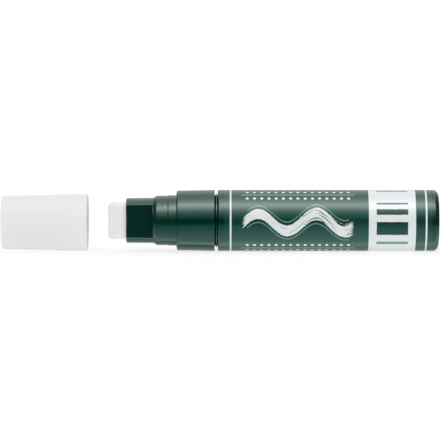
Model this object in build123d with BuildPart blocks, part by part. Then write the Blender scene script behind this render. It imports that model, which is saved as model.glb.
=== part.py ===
from build123d import *

import os
from math import cos, hypot, pi, sin, sqrt

# A liquid chalk marker with a broad felt nib, lying on a table with its cap pulled off.
# X runs along the marker from the cap to the tail, Z is up, and the table is at Z = 0.
# The origin is on the table, under the middle of the whole length. Sizes are in millimetres.

# Fits shared by several pieces
press_gap = 0.03  # round pieces pressed into each other
touch_gap = 0.02  # faces that meet and part as the valve works
overrun = 1.0  # how far a cut passes the face that it leaves

# Nib: a felt block with a slanted end
nib_width = 15.0
nib_thickness = 8.0
nib_corner = 1.5  # rounding of its long edges
nib_reach = 7.3  # how far it stands out of the holder
nib_tail = 1.0  # how far it stands into the chamber behind the slot
nib_slant = 2.4  # how much shorter the far side is than the near side
nib_clearance = 0.15
tip_round_share = 0.85  # rounding of the writing end, of the rounding of the long edges

# Nib carrier: the stiff plate between the nib and the valve
carrier_thickness = 1.6
carrier_hole = 2.2  # diameter of the ink passages
carrier_room = 0.4  # what is left in front of the valve case when the nib is pushed in

# Holder: mouth with two flats, neck for the cap, collar and skirt
mouth_length = 11.25
mouth_wall = 1.25  # thinnest wall, at the corners of the slot
mouth_draft = 0.1
mouth_round = 0.4
flat_wall = 2.25  # wall between the slot and a flat
flat_land = 0.12  # full round left between a flat and the neck
flat_fillet = 0.2
vent_width = 1.2  # air channels in the broad walls of the slot
vent_depth = 0.6
vent_spacing = 6.0
neck_lead = 1.4  # cone that guides the cap on
neck_step = 0.89
neck_band = 4.52  # plain front part of the neck
neck_edge_round = 1.8
line_width = 0.5  # fine groove round the front part of the neck
line_depth = 0.05
band_ramp = 0.5  # slope up which the cap's bore slides on to the seat band
seat_band = 3.58  # rear part of the neck, where the cap sits tight
band_step = 0.19
shoulder = 1.91  # height of the collar's front face
collar_lean = 0.35  # how far that face leans back
collar_length = 16.0
collar_draft = 0.31
collar_round = 0.6
collar_back_round = 0.2
joint_gap = 1.3  # groove left between the collar and the barrel
joint_land = 0.42  # land along that groove, with a slot on each side
joint_land_share = 0.6  # place of the land's middle, of the width of the groove
joint_slot_depth = 0.8
chamber_setback = 3.75  # from the front of the neck to the chamber behind the slot
chamber_clearance = 0.2
case_ledge = 0.65  # step that the valve case is pressed against
skirt_length = 9.0  # part of the holder inside the barrel
skirt_gap = 0.15
skirt_lead = 0.5
seal_bead_width = 1.0
seal_bead_spacing = 3.6

# Valve: seat, plunger, seal, spring and retainer
valve_stroke = 2.0
seat_thickness = 1.8
stem_radius = 1.6
flow_gap = 1.0  # ink passage round the stem
seal_thickness = 1.2
seal_land = 1.6  # how far the seal covers the seat beyond its hole
seal_round_share = 0.3  # rounding of the seal's edges, of its thickness
flange_thickness = 1.2
flange_gap = 1.8  # ink passage round the flange
pilot_clearance = 0.3  # round the pilot that centres the spring on the flange
pilot_length = 1.2
rod_radius = 1.3  # guide rod that slides in the retainer
rod_clearance = 0.1
rod_tail = 1.0  # how far the rod stands out of the retainer
rod_round = 0.4
spring_length = 9.0
spring_wire = 0.6
spring_inset = 0.7  # from the flange's edge to the outside of the coil
spring_turns = 6
boss_height = 1.2
retainer_thickness = 1.6
retainer_ledge = 0.9
inlet_count = 6
inlet_web = 0.15  # material left beside each ink inlet
case_lip = 0.8

# Barrel: the ink reservoir
barrel_length = 91.75
barrel_wall = 2.15
rim_wall = 1.45  # wall round the holder's skirt
rim_round = 0.55
rim_lead = 0.3
tail_wall = 2.2
tail_round = 2.3
reservoir_round = 1.2
gate_radius = 3.0  # shallow moulding recess in the tail
gate_depth = 0.5

# Label: printed film wrapped round the barrel in a shallow recess
label_thickness = 0.12
label_glue = 0.02
label_inset = 0.02  # how far the film lies below the barrel's rims
label_front_margin = 2.6
label_back_margin = 2.8
label_end_gap = 0.12
label_seam = 0.4

# Mixing balls
ball_diameter = 6.0
ball_clearance = 0.2

# Cap and the sealing cup inside it
cap_parting = 8.75  # from the nib to the rim of the cap, as it lies pulled off
cap_lift = 0.15  # room under the cap as it lies pulled off, so that the marker bears on the table alone
cap_clearance = 0.15
cap_wall = 1.1
cap_body_wall = 0.95
cap_skirt_length = 10.8
cap_skirt_draft = 0.06
cap_step = 0.24
cap_step_length = 3.2
cap_step_round = 2.0
cap_draft = 0.33
cap_end_wall = 1.3
cap_end_round = 1.1
cap_inner_round = 0.4
cap_rim_round = 0.35
cap_seat_gap = 0.2  # left between the cap's rim and the collar when it is closed
snap_width = 0.8
snap_slope = 0.35
snap_clearance = 0.16
snap_gap = 0.15
cup_gap = 0.1
cup_end = 0.8
cup_clearance = 0.2  # round the mouth of the holder
cup_flare = 0.2  # widening of the cup towards its lip
cup_flare_length = 4.0
cup_round = 0.8
nib_room = 5.75  # free space in front of the nib when the cap is on

# Radii, worked out from the nib outwards
slot_half_width = nib_width / 2 + nib_clearance
slot_half_thickness = nib_thickness / 2 + nib_clearance
slot_corner = nib_corner + nib_clearance
slot_reach = hypot(slot_half_width - slot_corner, slot_half_thickness - slot_corner) + slot_corner
flat_distance = slot_half_thickness + flat_wall
mouth_radius = slot_reach + mouth_wall
neck_radius = mouth_radius + neck_step
seat_band_radius = neck_radius + band_step
collar_radius = seat_band_radius + shoulder
barrel_radius = collar_radius + collar_draft
chamber_radius = slot_reach + chamber_clearance
case_bore = chamber_radius + case_ledge
rim_bore = barrel_radius - rim_wall
reservoir_radius = barrel_radius - barrel_wall
skirt_radius = rim_bore - skirt_gap
label_radius = barrel_radius - label_inset
label_bore = label_radius - label_thickness
recess_radius = label_bore - label_glue
seat_hole = stem_radius + flow_gap
flange_radius = seat_hole + seal_land
spring_outer = flange_radius - spring_inset
spring_mean = spring_outer - spring_wire / 2
pilot_radius = spring_mean - spring_wire / 2 - pilot_clearance
spring_bore = flange_radius + flange_gap
retainer_bore = spring_bore + retainer_ledge
cap_bore = seat_band_radius + cap_clearance
cap_rim_radius = cap_bore + cap_wall
cap_skirt_radius = cap_rim_radius - cap_skirt_draft
cap_body_radius = cap_skirt_radius - cap_step
cap_end_radius = cap_body_radius - cap_draft
snap_radius = neck_radius + snap_clearance
cup_bore = mouth_radius + cup_clearance

# Places along X, worked out from the closed end of the cap to the tail
neck_length = neck_lead + neck_band + seat_band
closed_depth = neck_length - cap_seat_gap  # from the cap's rim to the front of the neck, when closed
cap_length = cap_end_wall + cup_gap + cup_end + nib_room + nib_reach + mouth_length + closed_depth
marker_length = nib_reach + mouth_length + neck_length + collar_length + joint_gap + barrel_length
cap_back = -(cap_length + cap_parting + marker_length) / 2
cap_rim = cap_back + cap_length
nib_tip = cap_rim + cap_parting
mouth_front = nib_tip + nib_reach
neck_front = mouth_front + mouth_length
band_front = neck_front + neck_lead + neck_band
collar_front = band_front + seat_band
collar_back = collar_front + collar_length
barrel_front = collar_back + joint_gap
skirt_end = barrel_front + skirt_length
tail = barrel_front + barrel_length
chamber_front = neck_front + chamber_setback
nib_back = chamber_front + nib_tail
carrier_back = nib_back + carrier_thickness
case_front = carrier_back + valve_stroke + carrier_room
seat_back = case_front + seat_thickness
seal_front = seat_back + touch_gap
flange_front = seal_front + seal_thickness
flange_back = flange_front + flange_thickness
spring_front = flange_back + touch_gap
spring_back = spring_front + spring_length
retainer_front = spring_back + touch_gap
retainer_back = retainer_front + retainer_thickness
case_back = retainer_back + case_lip
rod_end = retainer_back + rod_tail
label_front = barrel_front + label_front_margin
label_back = tail - label_back_margin

# The axes of the marker and of the cap, and the planes that hold the outlines of turned pieces.
# Barrel and cap lie end to end on the table, so the slimmer cap's axis is lower.
axis_height = barrel_radius
cap_height = cap_rim_radius + cap_lift
marker_axis = Axis(origin=(0, 0, axis_height), direction=(1, 0, 0))
lengthwise = Plane(origin=(0, 0, axis_height), x_dir=(1, 0, 0), z_dir=(0, -1, 0))
cap_axis = Axis(origin=(0, 0, cap_height), direction=(1, 0, 0))
cap_lengthwise = Plane(origin=(0, 0, cap_height), x_dir=(1, 0, 0), z_dir=(0, -1, 0))


def across(station):
    """Plane square to the marker's axis, facing the tail, with its local y upwards."""
    return Plane(origin=(station, 0, axis_height), x_dir=(0, 1, 0), z_dir=(1, 0, 0))


def corners(outline):
    """The corner points of an outline of (station, radius, rounding) entries."""
    return [(station, radius) for station, radius, rounding in outline]


def roundings(outline):
    """The corner roundings of an outline of (station, radius, rounding) entries."""
    return [rounding for station, radius, rounding in outline]


os.makedirs("parts", exist_ok=True)

# Cap: a thin tapered shell with a wider skirt and a snap ring inside
step_back = cap_rim - cap_skirt_length
step_front = step_back - cap_step_length
snap_back = cap_rim - (seat_band - cap_seat_gap) - snap_gap
snap_front = snap_back - snap_width
cap_outline = [
    (cap_back, 0, 0),
    (cap_back, cap_end_radius, cap_end_round),
    (step_front, cap_body_radius, cap_step_round),
    (step_back, cap_skirt_radius, cap_step_round),
    (cap_rim, cap_rim_radius, cap_rim_round),
    (cap_rim, cap_bore, cap_rim_round),
    (snap_back, cap_bore, 0),
    (snap_back - snap_slope, snap_radius, 0),
    (snap_front + snap_slope, snap_radius, 0),
    (snap_front, cap_bore, 0),
    (step_back, cap_bore, 0),
    (step_front, cap_body_radius - cap_body_wall, 0),
    (cap_back + cap_end_wall, cap_end_radius - cap_body_wall, cap_inner_round),
    (cap_back + cap_end_wall, 0, 0),
]
with BuildPart() as cap:
    with BuildSketch(cap_lengthwise):
        with BuildLine():
            FilletPolyline(*corners(cap_outline), radius=roundings(cap_outline), close=True)
        make_face()
    revolve(axis=cap_axis)
cap.part.label = "cap"
export_step(cap.part, "parts/cap.step")

# Inner cap: the cup that closes round the mouth and meets the cone of the neck
cup_back = cap_back + cap_end_wall + cup_gap
cup_front = cap_rim - closed_depth
cup_end_radius = cap_end_radius - cap_body_wall - cup_gap
cup_lip_radius = cap_body_radius - cap_body_wall - cup_gap
cup_outline = [
    (cup_back, 0, 0),
    (cup_back, cup_end_radius, cap_inner_round + cup_gap),
    (cup_front, cup_lip_radius, 0),
    (cup_front, cup_bore + cup_flare, 0),
    (cup_front - cup_flare_length, cup_bore, 0),
    (cup_back + cup_end, cup_bore, cup_round),
    (cup_back + cup_end, 0, 0),
]
with BuildPart() as inner_cap:
    with BuildSketch(cap_lengthwise):
        with BuildLine():
            FilletPolyline(*corners(cup_outline), radius=roundings(cup_outline), close=True)
        make_face()
    revolve(axis=cap_axis)
inner_cap.part.label = "inner_cap"
export_step(inner_cap.part, "parts/inner_cap.step")

# Nib: a rounded block whose writing end slants towards the far side
tip_round = nib_corner * tip_round_share
slant_length = hypot(nib_slant, nib_thickness)
sharp_tip = nib_tip - tip_round * ((slant_length + nib_slant) / nib_thickness - 1)
with BuildPart() as nib:
    with BuildSketch(across(nib_back)):
        RectangleRounded(nib_thickness, nib_width, nib_corner)
    extrude(amount=sharp_tip - nib_back)
    with BuildSketch(Plane.XY):
        with BuildLine():
            Polyline(
                (sharp_tip, -nib_thickness / 2),
                (sharp_tip + nib_slant, nib_thickness / 2),
                (sharp_tip + nib_slant, nib_thickness / 2 + overrun),
                (sharp_tip - overrun, nib_thickness / 2 + overrun),
                (sharp_tip - overrun, -nib_thickness / 2),
                close=True,
            )
        make_face()
    extrude(amount=axis_height + nib_width, mode=Mode.SUBTRACT)
    fillet(nib.faces().sort_by(Axis.X)[0].edges(), radius=tip_round)
nib.part.label = "nib"
export_step(nib.part, "parts/nib.step")

# Nib carrier: a plate as large as the nib, pierced for the ink
with BuildPart() as nib_carrier:
    with BuildSketch(across(nib_back)):
        RectangleRounded(nib_thickness, nib_width, nib_corner)
        with GridLocations(nib_thickness / 2, nib_width / 2, 2, 2):
            Circle(carrier_hole / 2, mode=Mode.SUBTRACT)
    extrude(amount=carrier_thickness)
nib_carrier.part.label = "nib_carrier"
export_step(nib_carrier.part, "parts/nib_carrier.step")

# Holder: turned body first, then the flats, then the slot with its air channels
line_middle = neck_front + neck_lead + neck_band / 2
land_middle = collar_back + joint_gap * joint_land_share
holder_outline = [
    (mouth_front, 0, 0),
    (mouth_front, mouth_radius - mouth_draft, mouth_round),
    (neck_front, mouth_radius, 0),
    (neck_front + neck_lead, neck_radius, neck_edge_round),
    (line_middle - line_width / 2, neck_radius, 0),
    (line_middle, neck_radius - line_depth, 0),
    (line_middle + line_width / 2, neck_radius, 0),
    (band_front, neck_radius, 0),
    (band_front + band_ramp, seat_band_radius, 0),
    (collar_front, seat_band_radius, 0),
    (collar_front + collar_lean, collar_radius, collar_round),
    (collar_back, barrel_radius, collar_back_round),
    (collar_back, skirt_radius - joint_slot_depth, 0),
    (land_middle - joint_land / 2, skirt_radius, 0),
    (land_middle + joint_land / 2, skirt_radius, 0),
    (barrel_front, skirt_radius - joint_slot_depth, 0),
    (barrel_front, skirt_radius, 0),
    (skirt_end - skirt_lead, skirt_radius, 0),
    (skirt_end, skirt_radius - skirt_lead, 0),
    (skirt_end, case_bore, 0),
    (case_front, case_bore, 0),
    (case_front, chamber_radius, 0),
    (chamber_front, chamber_radius, 0),
    (chamber_front, 0, 0),
]
with BuildPart() as holder:
    with BuildSketch(lengthwise):
        with BuildLine():
            FilletPolyline(*corners(holder_outline), radius=roundings(holder_outline), close=True)
        make_face()
    revolve(axis=marker_axis)
    with BuildSketch(lengthwise):
        with Locations(((barrel_front + skirt_end) / 2, skirt_radius)):
            with GridLocations(seal_bead_spacing, 0, 2, 1):
                Rectangle(seal_bead_width, 2 * (skirt_gap - press_gap))
    revolve(axis=marker_axis)
    with BuildSketch(across(neck_front - flat_land)):
        with GridLocations(2 * (flat_distance + mouth_radius), 0, 2, 1):
            Rectangle(2 * mouth_radius, 2 * mouth_radius)
    extrude(amount=flat_land - mouth_length - overrun, mode=Mode.SUBTRACT)
    fillet(holder.edges().filter_by(Axis.Z).group_by(Axis.X)[-1], radius=flat_fillet)
    with BuildSketch(across(mouth_front - overrun)):
        RectangleRounded(2 * slot_half_thickness, 2 * slot_half_width, slot_corner)
        with GridLocations(2 * slot_half_thickness, vent_spacing, 2, 2):
            Rectangle(2 * vent_depth, vent_width)
    extrude(amount=chamber_front - mouth_front + 2 * overrun, mode=Mode.SUBTRACT)
holder.part.label = "holder"
export_step(holder.part, "parts/holder.step")

# Valve case: the seat in front, the spring's room behind it
case_radius = case_bore - press_gap
with BuildPart() as valve_case:
    with BuildSketch(lengthwise):
        with BuildLine():
            Polyline(
                (case_front, seat_hole),
                (case_front, case_radius),
                (case_back, case_radius),
                (case_back, retainer_bore),
                (retainer_front, retainer_bore),
                (retainer_front, spring_bore),
                (seat_back, spring_bore),
                (seat_back, seat_hole),
                close=True,
            )
        make_face()
    revolve(axis=marker_axis)
valve_case.part.label = "valve_case"
export_step(valve_case.part, "parts/valve_case.step")

# Valve plunger: a stem that the carrier pushes, a flange, a pilot in the spring and a guide rod
plunger_outline = [
    (carrier_back, 0, 0),
    (carrier_back, stem_radius, 0),
    (flange_front, stem_radius, 0),
    (flange_front, flange_radius, 0),
    (flange_back, flange_radius, 0),
    (flange_back, pilot_radius, 0),
    (flange_back + pilot_length, pilot_radius, 0),
    (flange_back + pilot_length, rod_radius, 0),
    (rod_end, rod_radius, rod_round),
    (rod_end, 0, 0),
]
with BuildPart() as valve_plunger:
    with BuildSketch(lengthwise):
        with BuildLine():
            FilletPolyline(*corners(plunger_outline), radius=roundings(plunger_outline), close=True)
        make_face()
    revolve(axis=marker_axis)
valve_plunger.part.label = "valve_plunger"
export_step(valve_plunger.part, "parts/valve_plunger.step")

# Valve seal: a soft ring on the stem, in front of the flange
with BuildPart() as valve_seal:
    with BuildSketch(across(seal_front)):
        Circle(flange_radius)
        Circle(stem_radius + press_gap, mode=Mode.SUBTRACT)
    extrude(amount=seal_thickness)
    seal_circles = valve_seal.edges().filter_by(GeomType.CIRCLE)
    fillet(seal_circles.group_by(SortBy.RADIUS)[-1], radius=seal_thickness * seal_round_share)
valve_seal.part.label = "valve_seal"
export_step(valve_seal.part, "parts/valve_seal.step")

# Valve spring: one wire whose half turns are pairs of tangent arcs
spring_rise = spring_length - spring_wire
half_turns = 2 * spring_turns


def spring_point(half_turn):
    """Place of the wire's middle after a number of half turns."""
    angle = pi * half_turn
    climb = spring_front + spring_wire / 2 + spring_rise * half_turn / half_turns
    return Vector(climb, spring_mean * cos(angle), axis_height + spring_mean * sin(angle))


def spring_heading(half_turn):
    """Direction of the wire after a number of half turns."""
    angle = pi * half_turn
    climb = spring_rise / (pi * half_turns)
    return Vector(climb, -spring_mean * sin(angle), spring_mean * cos(angle)).normalized()


def arc_pair(half_turn):
    """Where the two arcs of a half turn join, and the wire's direction there."""
    start, end = spring_point(half_turn), spring_point(half_turn + 1)
    leave, arrive = spring_heading(half_turn), spring_heading(half_turn + 1)
    chord = end - start
    along = chord.dot(leave + arrive)
    bend = 2 * (1 - leave.dot(arrive))
    reach = (sqrt(along**2 + bend * chord.dot(chord)) - along) / bend
    first, second = start + leave * reach, end - arrive * reach
    return (first + second) * 0.5, second - first


with BuildPart() as valve_spring:
    with BuildLine() as spring_path:
        for half_turn in range(half_turns):
            join, heading = arc_pair(half_turn)
            TangentArc(spring_point(half_turn), join, tangent=spring_heading(half_turn))
            TangentArc(join, spring_point(half_turn + 1), tangent=heading)
    with BuildSketch(Plane(origin=spring_point(0), z_dir=spring_heading(0))):
        Circle(spring_wire / 2)
    sweep()
valve_spring.part.label = "valve_spring"
export_step(valve_spring.part, "parts/valve_spring.step")

steps_per_turn = 24
spring_steps = steps_per_turn * spring_turns
spring_wire_path = spring_path.wire()
spring_samples = [spring_wire_path.position_at(step / spring_steps) for step in range(spring_steps + 1)]
spring_gap = min(
    (spring_samples[late] - spring_samples[early]).length - spring_wire
    for early in range(len(spring_samples))
    for late in range(early + steps_per_turn // 2, len(spring_samples))
)
print(f"least gap between the turns of the spring: {spring_gap:.2f} mm")

# Spring retainer: a disc pressed into the case, with ink inlets and a bored boss for the guide rod
retainer_radius = retainer_bore - press_gap
inlet_ring = (spring_outer + spring_bore) / 2
inlet_radius = (spring_bore - spring_outer) / 2 - inlet_web
with BuildPart() as spring_retainer:
    with BuildSketch(across(retainer_front)):
        Circle(retainer_radius)
        with PolarLocations(inlet_ring, inlet_count):
            Circle(inlet_radius, mode=Mode.SUBTRACT)
    extrude(amount=retainer_thickness)
    with BuildSketch(across(retainer_front)):
        Circle(pilot_radius)
    extrude(amount=-boss_height)
    with BuildSketch(across(retainer_back + overrun)):
        Circle(rod_radius + rod_clearance)
    extrude(amount=-(retainer_thickness + boss_height + 2 * overrun), mode=Mode.SUBTRACT)
spring_retainer.part.label = "spring_retainer"
export_step(spring_retainer.part, "parts/spring_retainer.step")

# Barrel: a closed tube with a step inside for the holder's skirt and a recess for the label
barrel_outline = [
    (barrel_front, rim_bore + rim_lead, 0),
    (barrel_front, barrel_radius, rim_round),
    (label_front, barrel_radius, 0),
    (label_front, recess_radius, 0),
    (label_back, recess_radius, 0),
    (label_back, barrel_radius, 0),
    (tail, barrel_radius, tail_round),
    (tail, gate_radius, 0),
    (tail - gate_depth, gate_radius, 0),
    (tail - gate_depth, 0, 0),
    (tail - tail_wall, 0, 0),
    (tail - tail_wall, reservoir_radius, reservoir_round),
    (skirt_end, reservoir_radius, 0),
    (skirt_end, rim_bore, 0),
    (barrel_front + rim_lead, rim_bore, 0),
]
with BuildPart() as barrel:
    with BuildSketch(lengthwise):
        with BuildLine():
            FilletPolyline(*corners(barrel_outline), radius=roundings(barrel_outline), close=True)
        make_face()
    revolve(axis=marker_axis)
barrel.part.label = "barrel"
export_step(barrel.part, "parts/barrel.step")

# Label: a film whose two ends almost meet at the back
with BuildPart() as label:
    with BuildSketch(across(label_front + label_end_gap)):
        Circle(label_radius)
        Circle(label_bore, mode=Mode.SUBTRACT)
        with Locations((label_radius, 0)):
            Rectangle(label_radius, label_seam, mode=Mode.SUBTRACT)
    extrude(amount=label_back - label_front - 2 * label_end_gap)
label.part.label = "label"
export_step(label.part, "parts/label.step")

# Mixing balls: two steel balls side by side at the bottom of the reservoir
ball_radius = ball_diameter / 2
ball_orbit = reservoir_radius - ball_clearance - ball_radius
ball_aside = ball_radius + ball_clearance / 2
ball_height = axis_height - sqrt(ball_orbit**2 - ball_aside**2)
ball_station = tail - tail_wall - ball_clearance - ball_radius
for number, side in ((1, -1), (2, 1)):
    with BuildPart(Plane(origin=(ball_station, side * ball_aside, ball_height))) as mixing_ball:
        Sphere(ball_radius)
    mixing_ball.part.label = f"mixing_ball_{number}"
    export_step(mixing_ball.part, f"parts/mixing_ball_{number}.step")
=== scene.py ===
from math import cos, hypot, pi, radians, sin

import bmesh
import bpy
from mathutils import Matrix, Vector


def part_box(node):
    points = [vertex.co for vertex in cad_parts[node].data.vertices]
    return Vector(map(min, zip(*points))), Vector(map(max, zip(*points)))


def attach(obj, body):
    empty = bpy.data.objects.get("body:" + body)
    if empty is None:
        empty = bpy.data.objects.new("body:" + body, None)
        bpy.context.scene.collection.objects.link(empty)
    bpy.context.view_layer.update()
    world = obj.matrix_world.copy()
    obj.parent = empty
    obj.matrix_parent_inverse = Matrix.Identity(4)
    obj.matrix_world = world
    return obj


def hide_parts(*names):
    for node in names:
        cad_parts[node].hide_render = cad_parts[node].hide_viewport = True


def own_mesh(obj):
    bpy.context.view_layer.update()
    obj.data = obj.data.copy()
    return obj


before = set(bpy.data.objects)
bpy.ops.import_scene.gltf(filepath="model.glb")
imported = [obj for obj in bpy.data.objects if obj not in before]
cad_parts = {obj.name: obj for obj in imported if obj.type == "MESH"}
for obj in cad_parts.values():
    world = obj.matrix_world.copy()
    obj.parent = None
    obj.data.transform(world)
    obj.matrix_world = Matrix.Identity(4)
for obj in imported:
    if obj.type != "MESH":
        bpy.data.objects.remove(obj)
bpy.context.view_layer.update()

# A broad liquid chalk marker on a white table, with its cap pulled off in front.
# X runs from the cap to the tail, Y away from the camera, Z up. Lengths are in metres, and those of
# patterns, of the print and of the light's levels are in millimetres, as the comments there say.
MM = 0.001

# Places and sizes that the frame gives
barrel_low, barrel_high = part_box("barrel")
axis_height = (barrel_low.z + barrel_high.z) / 2
label_low, label_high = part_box("label")
label_radius = (label_high.y - label_low.y) / 2
label_length = label_high.x - label_low.x
nib_low, nib_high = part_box("nib")
cap_low, cap_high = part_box("cap")
cap_height = (cap_low.z + cap_high.z) / 2
cap_radius = (cap_high.y - cap_low.y) / 2
coil_low, coil_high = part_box("valve_spring")
coil_radius = (coil_high.y - coil_low.y) / 2
coil_length = coil_high.x - coil_low.x

# Sizes of what the new pieces add
FILM_THICKNESS = 0.12 * MM
FILM_SIDES = 190  # one of them is left open as the seam
NIB_SLANT = 2.4 * MM  # how much shorter the far side of the nib is
NIB_CORNER = 1.5 * MM
NIB_CORNER_STEPS = 6
TIP_ROUND = 1.275 * MM
TIP_STEPS = 5
TIP_FACING = -0.7  # the tip's face looks at least this far along X
FELT_VOXEL = 0.25 * MM
FELT_TUFT = 0.5 * MM  # size of the tufts that the pressed fibres leave
FELT_TUFT_LAYERS = 2
FELT_DEPTH = 0.07 * MM
WIRE = 0.6 * MM
COIL_TURNS = 6
COIL_STEPS = 32  # of one turn
WIRE_SIDES = 12
CAP_SIDES = 128
CAP_WALL = 1.1 * MM
CAP_BODY_WALL = 0.95 * MM
CAP_END_WALL = 1.3 * MM
CAP_SKIRT = 10.8 * MM
CAP_STEP_LENGTH = 3.2 * MM
CAP_STEP = 0.24 * MM
CAP_SKIRT_DRAFT = 0.06 * MM
CAP_DRAFT = 0.33 * MM
CAP_END_ROUND = 1.1 * MM
CAP_RIM_ROUND = 0.35 * MM
CAP_INNER_ROUND = 0.4 * MM
CAP_STEP_ROUND = 1.0 * MM
SNAP_SETBACK = 3.53 * MM  # from the rim to the snap ring
SNAP_WIDTH = 0.8 * MM
SNAP_SLOPE = 0.35 * MM
SNAP_HEIGHT = 0.18 * MM
GATE_RADIUS = 1.6 * MM  # dimple that the mould's gate leaves in the closed end
GATE_FLOOR_RADIUS = 1.2 * MM
GATE_DEPTH = 0.3 * MM
GATE_ROUND = 0.12 * MM
MERGE = 0.001 * MM
SMOOTH_ANGLE = radians(32)

# Colours, as sRGB
BOTTLE_GREEN = "#002c24"
DEEP_GREEN = "#00281f"
GREEN_GLEAM = "#f1fffd"
LABEL_GREEN = "#113a32"
LABEL_SHADE = "#0e362e"
CHALK_WHITE = "#eff1f3"
CHALK_DUST = "#e1e5e7"
SAGE = "#6d9186"
CAP_WHITE = "#eeeef0"
CAP_SHADE = "#e7e7ea"
# painted light: the felt's lighter tone at its root, against the shade of the mouth's wall
FELT_ROOT_LIGHT = "#fdfdfe"
FELT_WHITE = "#f5f4f8"
FELT_SHADE = "#e8e7ed"
NATURAL_PLASTIC = "#dedcd2"
NATURAL_SHADE = "#cfccbf"
RUBBER_BLACK = "#191919"
RUBBER_BLOOM = "#2a2a2a"
STEEL = "#c3c4c4"
STEEL_SHADE = "#9a9b9b"

# Sizes of the patterns in the finishes, in millimetres
PIGMENT_CLOUD = 6.0
GREEN_GRAIN = 0.22
CAP_STREAK = 2.2
PALE_GRAIN = 0.3  # of the cap and of the natural plastic
FELT_FIBRE = 0.3
CHALK_FRAY = 0.9
CHALK_STREAK = 0.7
CHALK_PIT = 0.35
MILKY_CLOUD = 3.0
SEAL_BLOOM = 0.8
STEEL_MARK = 0.15
# How a pattern is drawn out along X, Y and Z: at 0.2 it is five times as long
PIGMENT_DRAWN = (0.3, 1.0, 1.0)
STREAK_DRAWN = (0.06, 1.0, 1.0)
FIBRE_DRAWN = (0.2, 1.0, 1.0)
CHALK_DRAWN = (0.08, 1.0, 1.0)
WIRE_DRAWN = (1.0, 1.0, 0.2)
NOT_DRAWN = (1.0, 1.0, 1.0)
# Most of a noise lies between these levels
NOISE_LOW = 0.3
NOISE_HIGH = 0.7
# Two layers of felt fibres, turned in radians, and the levels at which they go from shaded to white
FIBRE_TURNS = ((0.3, 0.5, 0.0), (0.0, 1.2, 0.6))
FIBRE_LOW = 0.4
FIBRE_HIGH = 0.7
# The felt is painted lighter from behind the nib's tip to its root in the mouth: painted light that lifts
# the shade the mouth's wall casts on the root
ROOT_LIGHT_START = nib_low.x + 2.5 * MM
ROOT_LIGHT_END = nib_low.x + 6.8 * MM
# Painted light in streaks for the ribs inside the cap: their number and turn, their length, place and fade
# at the ends, how much they show about an even tone, and how much of the cap's tone the streaks give
CAP_RIBS = 16
RIB_PHASE = 3.84
RIB_LENGTH = 20.0 * MM
RIB_MIDDLE = cap_high.x - 23.4 * MM
RIB_FADE = 0.8 * MM
RIB_LIGHT_STRENGTH = 0.3
EVEN_TONE = 0.5
STREAK_SHARE = 0.55
# The green plastic and the film gleam twice as much as plain plastic does
GREEN_GLOSS = 1.0

# The label's print, in millimetres: along the label from its front edge, and round it from the near side.
# A mark is its ink, its middle, its size and how ragged its edge is.
PRINT_FACES = 3
WHOLE_WAY = 100.0
INK_SOFT = 0.06
PRINT_MARKS = (
    ("chalk", (2.6, 0.0), (0.7, WHOLE_WAY), 0.0),
    ("chalk", (83.6, 0.0), (0.7, WHOLE_WAY), 0.0),
    ("sage", (30.5, 13.28), (47.0, 0.9), 0.0),
    ("sage", (30.5, -13.28), (47.0, 0.9), 0.0),
    ("chalk", (69.5, 0.0), (19.5, WHOLE_WAY), 0.0),
    ("ground", (69.5, 8.2), (13.0, 0.9), 0.35),
    ("ground", (69.5, 4.4), (13.0, 2.4), 0.5),
    ("ground", (69.5, -2.6), (13.0, 5.6), 0.6),
    ("sage", (69.5, -9.6), (13.0, 1.6), 0.35),
)
WAVE_START = 8.0
WAVE_END = 53.0
WAVE_LENGTH = 24.0
WAVE_SWING = 3.6
WAVE_THIN = 4.0
WAVE_BROAD = 6.0
WAVE_RAGGED = 1.0
WAVE_FRAY = 5.0  # how far the streaks fray the ends of the stroke
WAVE_END_SOFT = 0.5
ECHO_GAP = 1.4
ECHO_WIDTH = 0.5
ECHO_SHORT = 1.5
ECHO_RAGGED = 0.3
DOT_ROW = 11.0
DOT_PITCH = 3.0
DOT_SIZE = 1.3
DOT_RAGGED = 0.4
# The stroke dries: the level below which its streaks are bare, at its start and end, and their soft edge
DRY_START = 0.30
DRY_END = 0.44
DRY_INNER = -0.02
DRY_OUTER = 0.05
# Levels of the pits in the chalk, and the ink that is left in a pit
PIT_LOW = 0.28
PIT_HIGH = 0.4
PIT_INK = 0.35

# The camera, with its distance and the end of its view in metres
VIEW_ELEVATION = radians(3.8)
VIEW_DISTANCE = 1.5
VIEW_END = 50.0
FRAME_WIDTH = 183.33 * MM  # of the square picture, at the marker's axis
AIM_RAISE = 0.2 * MM
SENSOR = 36.0

# Red, green and blue of the room in the gloss, what they lose where the room is lit by light that comes
# off the green marker, and the least share of that loss
GLOSS_SHARES = (1.05, 1.0, 1.0)
GREEN_LOSS = (-0.31, 0.0, -0.08)
LEAST_GREENED = 0.1

# The table: its size in metres, its glow, its white, and the glow that lights the object from below
TABLE_SIZE = 8.0
TABLE_GLOW = 0.785
TABLE_WHITE = 0.22
TABLE_BOUNCE = 0.72
# The glow in the gloss, with a painted shadow under the marker and a painted bright band beside it:
# millimetres to either side of the marker's axis, and the level there, beside the barrel and beside the
# collar, where the painted shadow below has a sharper edge
FAR_LEVELS = ((12.4, 0.87), (16, 0.77), (21, 0.65), (29, 0.5), (46, 0.39), (80, 0.15), (125, 0.0))
BARREL_LEVELS = (
    (0, 0.4), (3.2, 0.62), (5.2, 0.68), (6.1, 0.8), (6.9, 1.13),
    (7.7, 1.33), (8.5, 1.38), (9.3, 1.26), (10.1, 1.03),
) + FAR_LEVELS
COLLAR_LEVELS = (
    (0, 0.48), (2.6, 0.6), (4.2, 0.66), (5.7, 0.62), (6.9, 0.42),
    (7.7, 1.2), (8.5, 1.78), (9.4, 1.18), (10.2, 0.95),
) + FAR_LEVELS
COLLAR_FADE = 4.0  # millimetres in front of the middle in which the one turns into the other
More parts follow.
